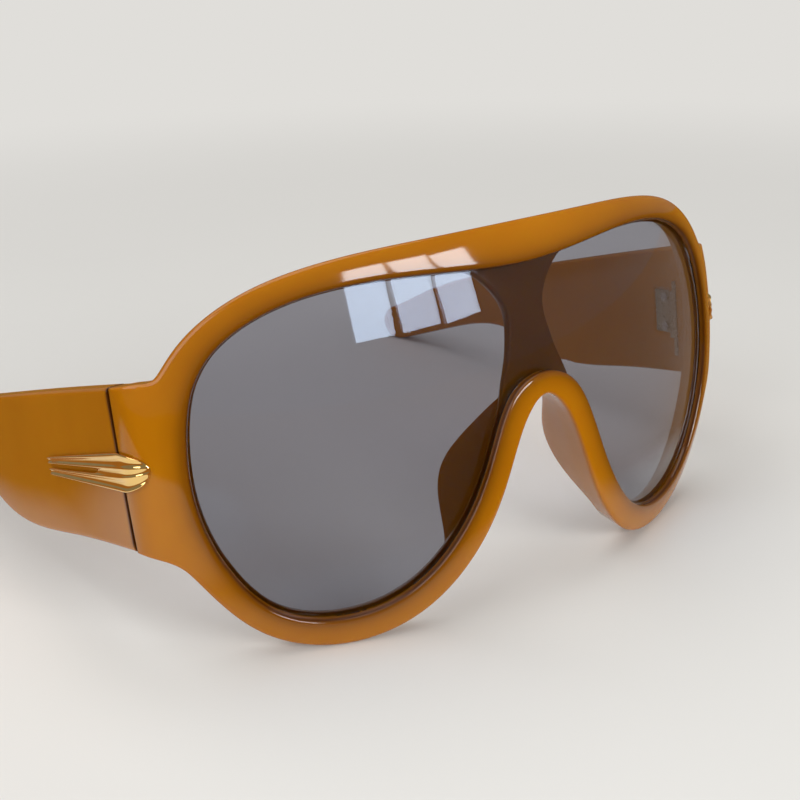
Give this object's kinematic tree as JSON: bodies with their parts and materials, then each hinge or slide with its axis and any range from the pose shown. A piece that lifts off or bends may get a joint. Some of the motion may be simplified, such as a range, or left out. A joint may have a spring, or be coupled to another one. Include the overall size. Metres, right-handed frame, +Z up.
{
  "type": "sunglasses",
  "caption": "Oversized wrap sunglasses with one wide grey shield lens in a glossy amber plastic front, broad folding temples on pin hinges and gold trim plaques.",
  "frame": {"origin": "on the table, under the middle of the open sunglasses' bounding box", "axes": "+Z up from the table, +X to the wearer's left, +Y from the lens towards the ears"},
  "size_m": [0.1592, 0.1562, 0.075],
  "materials": {
    "amber_front": "polished translucent amber",
    "amber_temple": "polished translucent amber",
    "grey_lens": "polished grey tint",
    "gold": "polished gold",
    "hinge_metal": "bright metal",
    "screw_steel": "bright steel"
  },
  "bodies": {
    "front": {"front_frame": "amber_front", "shield_lens": "grey_lens", "trim_plaque_left": "gold", "trim_plaque_right": "gold", "front_hinge_leaf_left": "hinge_metal", "front_hinge_leaf_right": "hinge_metal", "hinge_screw_left": "screw_steel", "hinge_screw_right": "screw_steel", "front_leaf_screws_left": "screw_steel", "front_leaf_screws_right": "screw_steel"},
    "left_temple": {"temple_left": "amber_temple", "temple_hinge_leaf_left": "hinge_metal", "temple_leaf_screws_left": "screw_steel"},
    "right_temple": {"temple_right": "amber_temple", "temple_hinge_leaf_right": "hinge_metal", "temple_leaf_screws_right": "screw_steel"}
  },
  "joints": [
    {"name": "left_fold", "type": "hinge", "parent": "front", "child": "left_temple", "pos_m": [0.06717, -0.04629, 0.03722], "axis": [0, 0.134, 0.991], "range_deg": [0, 92]},
    {"name": "right_fold", "type": "hinge", "parent": "front", "child": "right_temple", "pos_m": [-0.06717, -0.04629, 0.03722], "axis": [0, -0.134, -0.991], "range_deg": [0, 84]}
  ]
}
